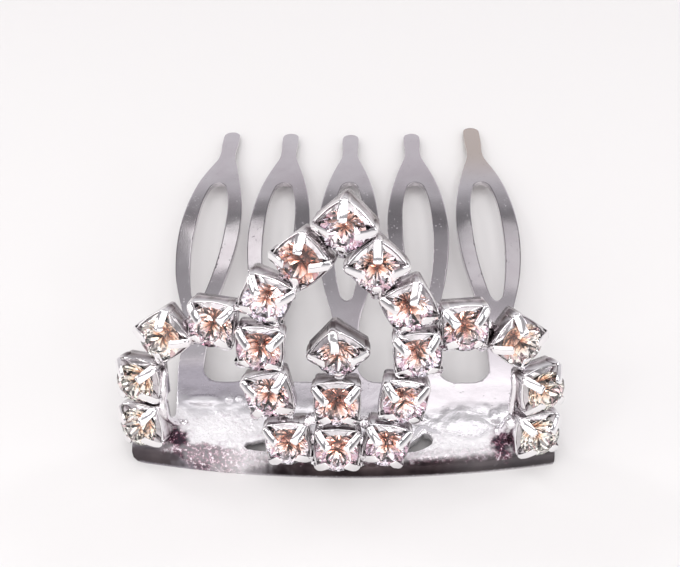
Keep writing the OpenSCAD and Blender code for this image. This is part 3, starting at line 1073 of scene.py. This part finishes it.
def platedMetal(name, group, look, solder=False, sides=False):
    mat, tree, skin = newMaterial(name, {"Metallic": 1.0})
    g = tree.nodes.new("ShaderNodeGroup")
    g.node_tree = group
    feed(tree, g, {trait: look[trait.lower()] for trait in plateTraits})
    colour, roughness, height = g.outputs
    place = objectPlace(tree)
    if solder:
        # smooth solder over the front of the plate, with sugary grains along the front
        amount, grainy, lip, stain, dullShadedPlate = (
            attribute(tree, n) for n in ("solderRun", "sugar", "lip", "fluxStain", "satinAndShade"))
        grains = addNoise(tree, place, 4200, 2, 0.6)
        speck = addNoise(tree, place, 2600, 3, 0.7)
        lumps = addNoise(tree, place, 1300, 2, 0.5)
        for bumps, where, rise in ((grains, grainy, 3.5), (lumps, amount, 2.2), (lumps, dullShadedPlate, 0.35)):
            height = multiply(tree, multiply(tree, bumps, where), rise, height)
        # painted shade: the dull plate is mixed toward a darker tone, most on the left
        parts = {"warmerTip": attribute(tree, "warmerTip"), "dullShadedPlate": addRange(tree, dullShadedPlate, 0.5, 1.0),
                 "solder": amount, "sugar": grainy}
        for tone, where in parts.items():
            colour = addMix(tree, where, colour, tones[tone])
        # painted reflection: the lip is painted a dark brownish grey, as if it mirrored dark surroundings
        colour = addMix(tree, lip, colour, addRamp(tree, addNoise(tree, place, 260, 3, 0.6), tones["lip"]))
        # grey and pinkish shade between the grains, then the dark stains
        patches = addRange(tree, addNoise(tree, place, 480, 2, 0.5), 0.42, 0.62)
        pits = multiply(tree, multiply(tree, addRange(tree, speck, 0.48, 0.66), grainy), patches)
        colour = addMix(tree, multiply(tree, pits, 0.5), colour, tones["pits"])
        deep = multiply(tree, addRange(tree, stain, 0.55, 1.0), -0.07, speck)
        colour = addMix(tree, stain, colour, addRamp(tree, deep, tones["flux"]))
        for where, rise in ((amount, 0.08), (lip, 0.14), (dullShadedPlate, 0.16)):
            roughness = multiply(tree, where, rise, roughness)
        # the grains scatter light rather than mirror it
        feed(tree, skin, {"Metallic": multiply(tree, grainy, -0.8, 1.0)})
    if sides:
        # below the rim the sides of the cups are rougher and painted brown, as painted shade
        brown = addRamp(tree, addNoise(tree, place, 900, 3, 0.6), tones["cupSides"])
        down = attribute(tree, "downSide")
        colour = addMix(tree, down, colour, brown)
        # painted shade: the side walls of some cups are darkened further
        colour = addMix(tree, attribute(tree, "shade"), colour, tones["cupShade"])
        roughness = multiply(tree, down, 0.12, roughness)
    bump = addNode(tree, "Bump", 0, {"Distance": look["bump"] * mm, "Height": height})
    feed(tree, skin, {"Base Color": colour, "Roughness": roughness, "Normal": bump})
    return mat


def peachGlass():
    mat, tree, skin = newMaterial("peachGlass", {"Roughness": 0.0, "IOR": 1.62, "Transmission Weight": 1.0})
    feed(tree, skin, {"Base Color": addRamp(tree, attribute(tree, "facetTone"), tones["glass"])})
    return mat


def foilBack():
    # the foil behind the stone is painted a different tone on each facet, partly its own colour and partly
    # painted reflections
    mat, tree, skin = newMaterial("foilBack", {"Metallic": 1.0, "Roughness": 0.05})
    colour = addRamp(tree, attribute(tree, "facetTone"), tones["foil"])
    colour = addMix(tree, attribute(tree, "champagne"), colour, tones["golden"], "MULTIPLY")
    feed(tree, skin, {"Base Color": colour})
    return mat


ground = {"half": 2, "look": {"Base Color": (0.80, 0.79, 0.78), "Roughness": 0.6}}  # half side in m


def paleFloor():
    h = ground["half"]
    mat = newMaterial("paleFloor", ground["look"])[0]
    floor = makeMesh("floor", [(-h, -h, 0), (h, -h, 0), (h, h, 0), (-h, h, 0)], [(0, 1, 2, 3)], [mat], False)


def softLight(name, place, aim, size, watts, colour=(1, 1, 1)):
    data = bpy.data.lights.new(name, "AREA")
    data.shape = "RECTANGLE"
    data.size, data.size_y = size
    data.energy = watts
    data.color = colour
    obj = addObject(name, data)
    obj.location = Vector(place)
    obj.rotation_euler = (Vector(aim) - Vector(place)).to_track_quat("-Z", "Y").to_euler()


# name, place and aim in metres, size, watts, colour
lights = [
    ("overhead", (0.0, -0.088, 0.50), (0, -0.088, 0), (0.62, 0.664), 1.32, (1.0, 0.985, 0.99)),
    ("frontPanel", (0.0, -0.60, 0.25), (0, 0, 0.01), (0.90, 0.42), 1.45, (1.0, 0.985, 0.985)),
    ("leftWindow", (-0.110, 0.448, 0.422), (-0.013, 0.004, 0), (0.078, 0.080), 0.018, (1.0, 0.98, 0.97)),
    ("rightTop", (0.0845, 0.2676, 0.522), (0.013, -0.019, 0), (0.180, 0.14), 0.050, (1.0, 0.98, 0.99)),
    ("rightWindow", (0.125, 0.44, 0.44), (0.019, 0.0, 0), (0.10, 0.12), 0.017, (1.0, 0.98, 0.98)),
    ("keyLeft", (-0.42, -0.27, 0.33), (0, 0, 0.01), (0.20, 0.20), 0.24, (1.0, 0.99, 1.0)),
    ("keyRight", (0.42, -0.27, 0.33), (0, 0, 0.01), (0.18, 0.18), 0.17, (1.0, 0.99, 1.0)),
    ("backLeft", (-0.36, 0.26, 0.36), (-0.012, -0.022, 0), (0.08, 0.08), 0.32, (1.0, 0.99, 1.0)),
    ("backRight", (0.36, 0.26, 0.36), (0.012, -0.022, 0), (0.08, 0.08), 0.24, (1.0, 0.99, 1.0)),
    ("leftStrip", (-0.50, -0.06, 0.22), (0, 0, 0.01), (0.10, 0.30), 0.30, (1.0, 0.97, 0.94)),
    ("rightStrip", (0.50, -0.10, 0.20), (0, 0, 0.01), (0.10, 0.24), 0.24, (0.95, 0.96, 1.0)),
]
# small lights that put sparks on the stones
sparks = {
    "places": [(-0.14, -0.30, 0.42), (0.17, -0.24, 0.47), (0.03, -0.46, 0.30), (-0.30, -0.16, 0.38),
               (0.30, -0.36, 0.26)],
    "aim": (0, -0.02, 0.01), "size": (0.045, 0.045), "watts": 0.09,
}

# brightness of the room by height, as its sine: before the piece and behind it
skyFront = [(0.0, 0.62), (0.10, 0.56), (0.20, 0.22), (0.3, 0.24), (0.6, 0.40), (0.8, 0.42), (1.0, 0.40)]
sky = [(0.0, 0.64), (0.35, 0.74), (0.50, 0.70), (0.545, 0.60), (0.575, 0.38), (0.60, 0.21), (0.645, 0.20),
       (0.685, 0.34), (0.72, 0.38), (0.76, 0.38), (0.80, 0.54), (0.83, 0.56), (0.87, 0.42), (1.0, 0.40)]


def studio():
    scene = bpy.context.scene
    scene.view_settings.view_transform = "Standard"
    world = bpy.data.worlds.new("studio")
    world.use_nodes = True
    tree = world.node_tree
    back = tree.nodes["Background"]
    way = addNode(tree, "TexCoord", "Generated", {})
    up, rear = (addNode(tree, "SeparateXYZ", axis, {0: way}) for axis in "ZY")
    behind, before = (addRamp(tree, up, [(at, (v, v * 0.97, v * 1.01)) for at, v in room])
                      for room in (sky, skyFront))
    feed(tree, back, {"Color": addMix(tree, addRange(tree, rear, -0.3, 0.3), before, behind)})
    scene.world = world
    for light in lights:
        softLight(*light)
    for i, place in enumerate(sparks["places"]):
        softLight("spark_%d" % i, place, sparks["aim"], sparks["size"], sparks["watts"])


cameraSettings = {
    "place": (3.151, -70.117, 75.432),  # mm
    "turn": (42.469, 1.515, 1.4),  # degrees
    "lens": 45.0, "sensor": 36,
    "clip": (0.005, 20),  # metres
}


def makeCamera():
    data = bpy.data.cameras.new("camera")
    cam = addObject("camera", data)
    data.lens = cameraSettings["lens"]
    data.sensor_width = cameraSettings["sensor"]
    data.clip_start, data.clip_end = cameraSettings["clip"]
    cam.location = Vector(cameraSettings["place"]) * mm
    cam.rotation_euler = [radians(a) for a in cameraSettings["turn"]]
    bpy.context.scene.camera = cam


makeCamera()
plating = platingGroup()
combMetal = platedMetal("combPlating", plating, metals["comb"], solder=True)
cupMetal = platedMetal("cupPlating", plating, metals["cup"], sides=True)
solderMetal = platedMetal("solderMetal", plating, metals["solder"])
print("materials ready")
pieces = [makeComb(combMetal)]
print("comb ready")
pieces += makeCups(cupMetal)
pieces.append(makeJoints(solderMetal))
print("cups and joints ready")
pieces += makeStones(peachGlass(), foilBack())
print("stones ready")
for piece in pieces:
    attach(piece, "root")
paleFloor()
studio()
print("faces in all", sum(len(p.data.polygons) for p in pieces))
